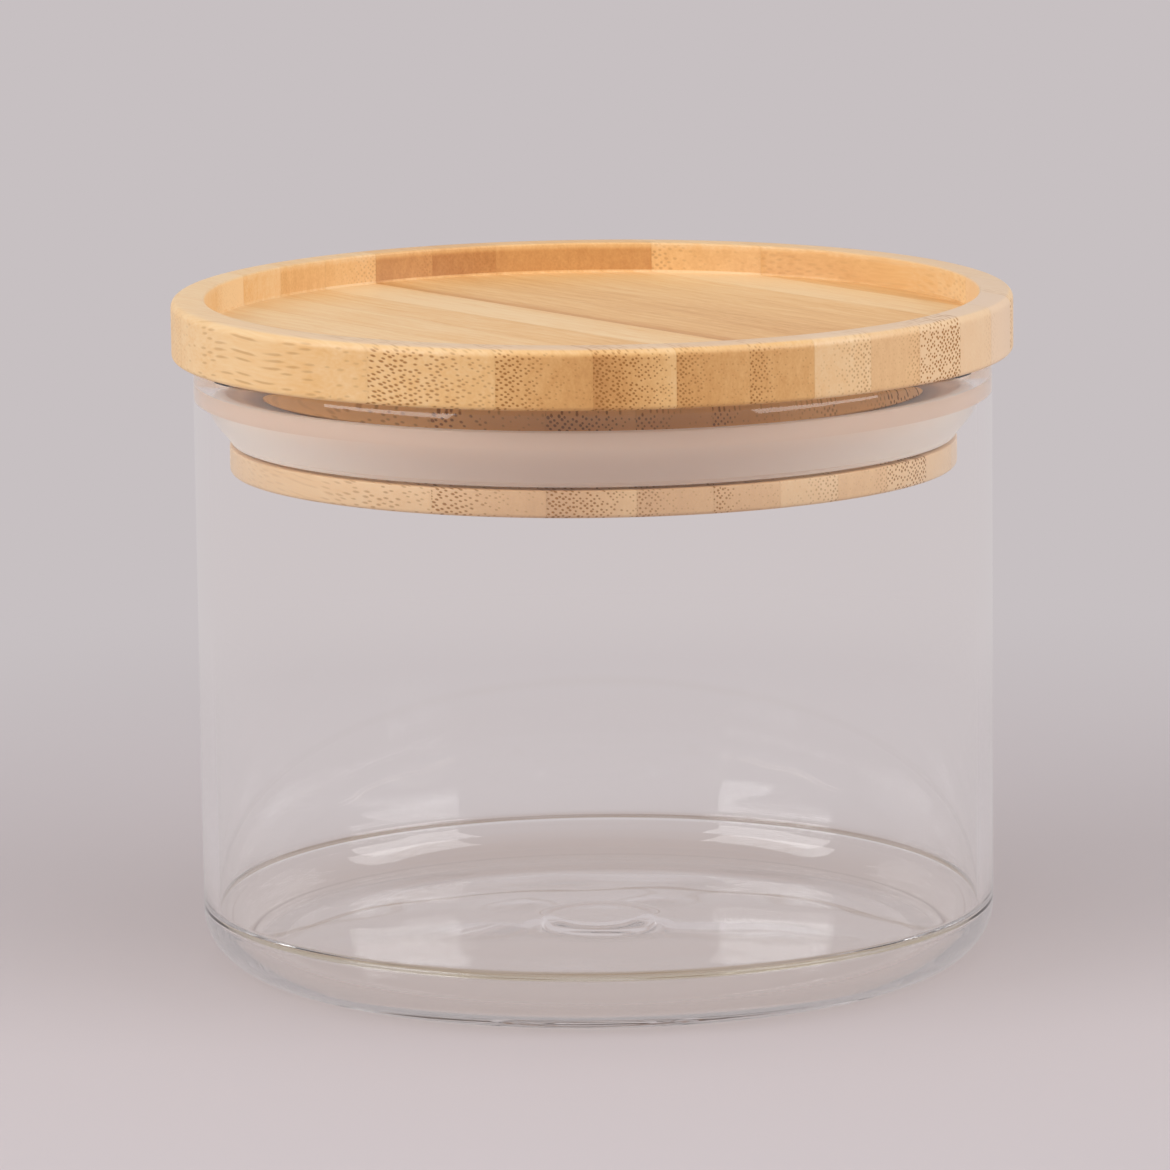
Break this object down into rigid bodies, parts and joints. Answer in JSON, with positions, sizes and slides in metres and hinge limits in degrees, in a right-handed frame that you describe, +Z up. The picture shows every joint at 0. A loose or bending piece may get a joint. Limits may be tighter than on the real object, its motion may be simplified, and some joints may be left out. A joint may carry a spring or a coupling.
{
  "type": "glass storage jar with bamboo lid",
  "caption": "Low round glass storage jar with a turned laminated bamboo lid, a stacking recess on top and a flared silicone seal round its plug.",
  "frame": {"origin": "centre of the base, on the surface that the jar stands on", "axes": "+Z up along the jar's axis, +X along the bamboo's grain, +Y across the glued strips"},
  "size_m": [0.1, 0.1, 0.08],
  "materials": {
    "glass": "clear, fire-polished borosilicate glass",
    "silicone": "satin, milky translucent silicone rubber",
    "pale_bamboo": "turned and oiled bamboo, satin",
    "honey_bamboo": "turned and oiled bamboo, satin",
    "tan_bamboo": "turned and oiled bamboo, satin"
  },
  "bodies": {
    "jar": {"glass_jar": "glass"},
    "lid": {"silicone_seal": "silicone", "lid_strip_01": "pale_bamboo", "lid_strip_02": "pale_bamboo", "lid_strip_03": "honey_bamboo", "lid_strip_04": "tan_bamboo", "lid_strip_05": "tan_bamboo", "lid_strip_06": "tan_bamboo", "lid_strip_07": "honey_bamboo", "lid_strip_08": "pale_bamboo", "lid_strip_09": "honey_bamboo", "lid_strip_10": "honey_bamboo", "lid_strip_11": "pale_bamboo", "lid_strip_12": "pale_bamboo", "lid_strip_13": "pale_bamboo"}
  },
  "joints": [
    {"name": "lid_lift", "type": "slide", "parent": "jar", "child": "lid", "axis": [0, 0, 1], "range_m": [0, 0.12]}
  ]
}
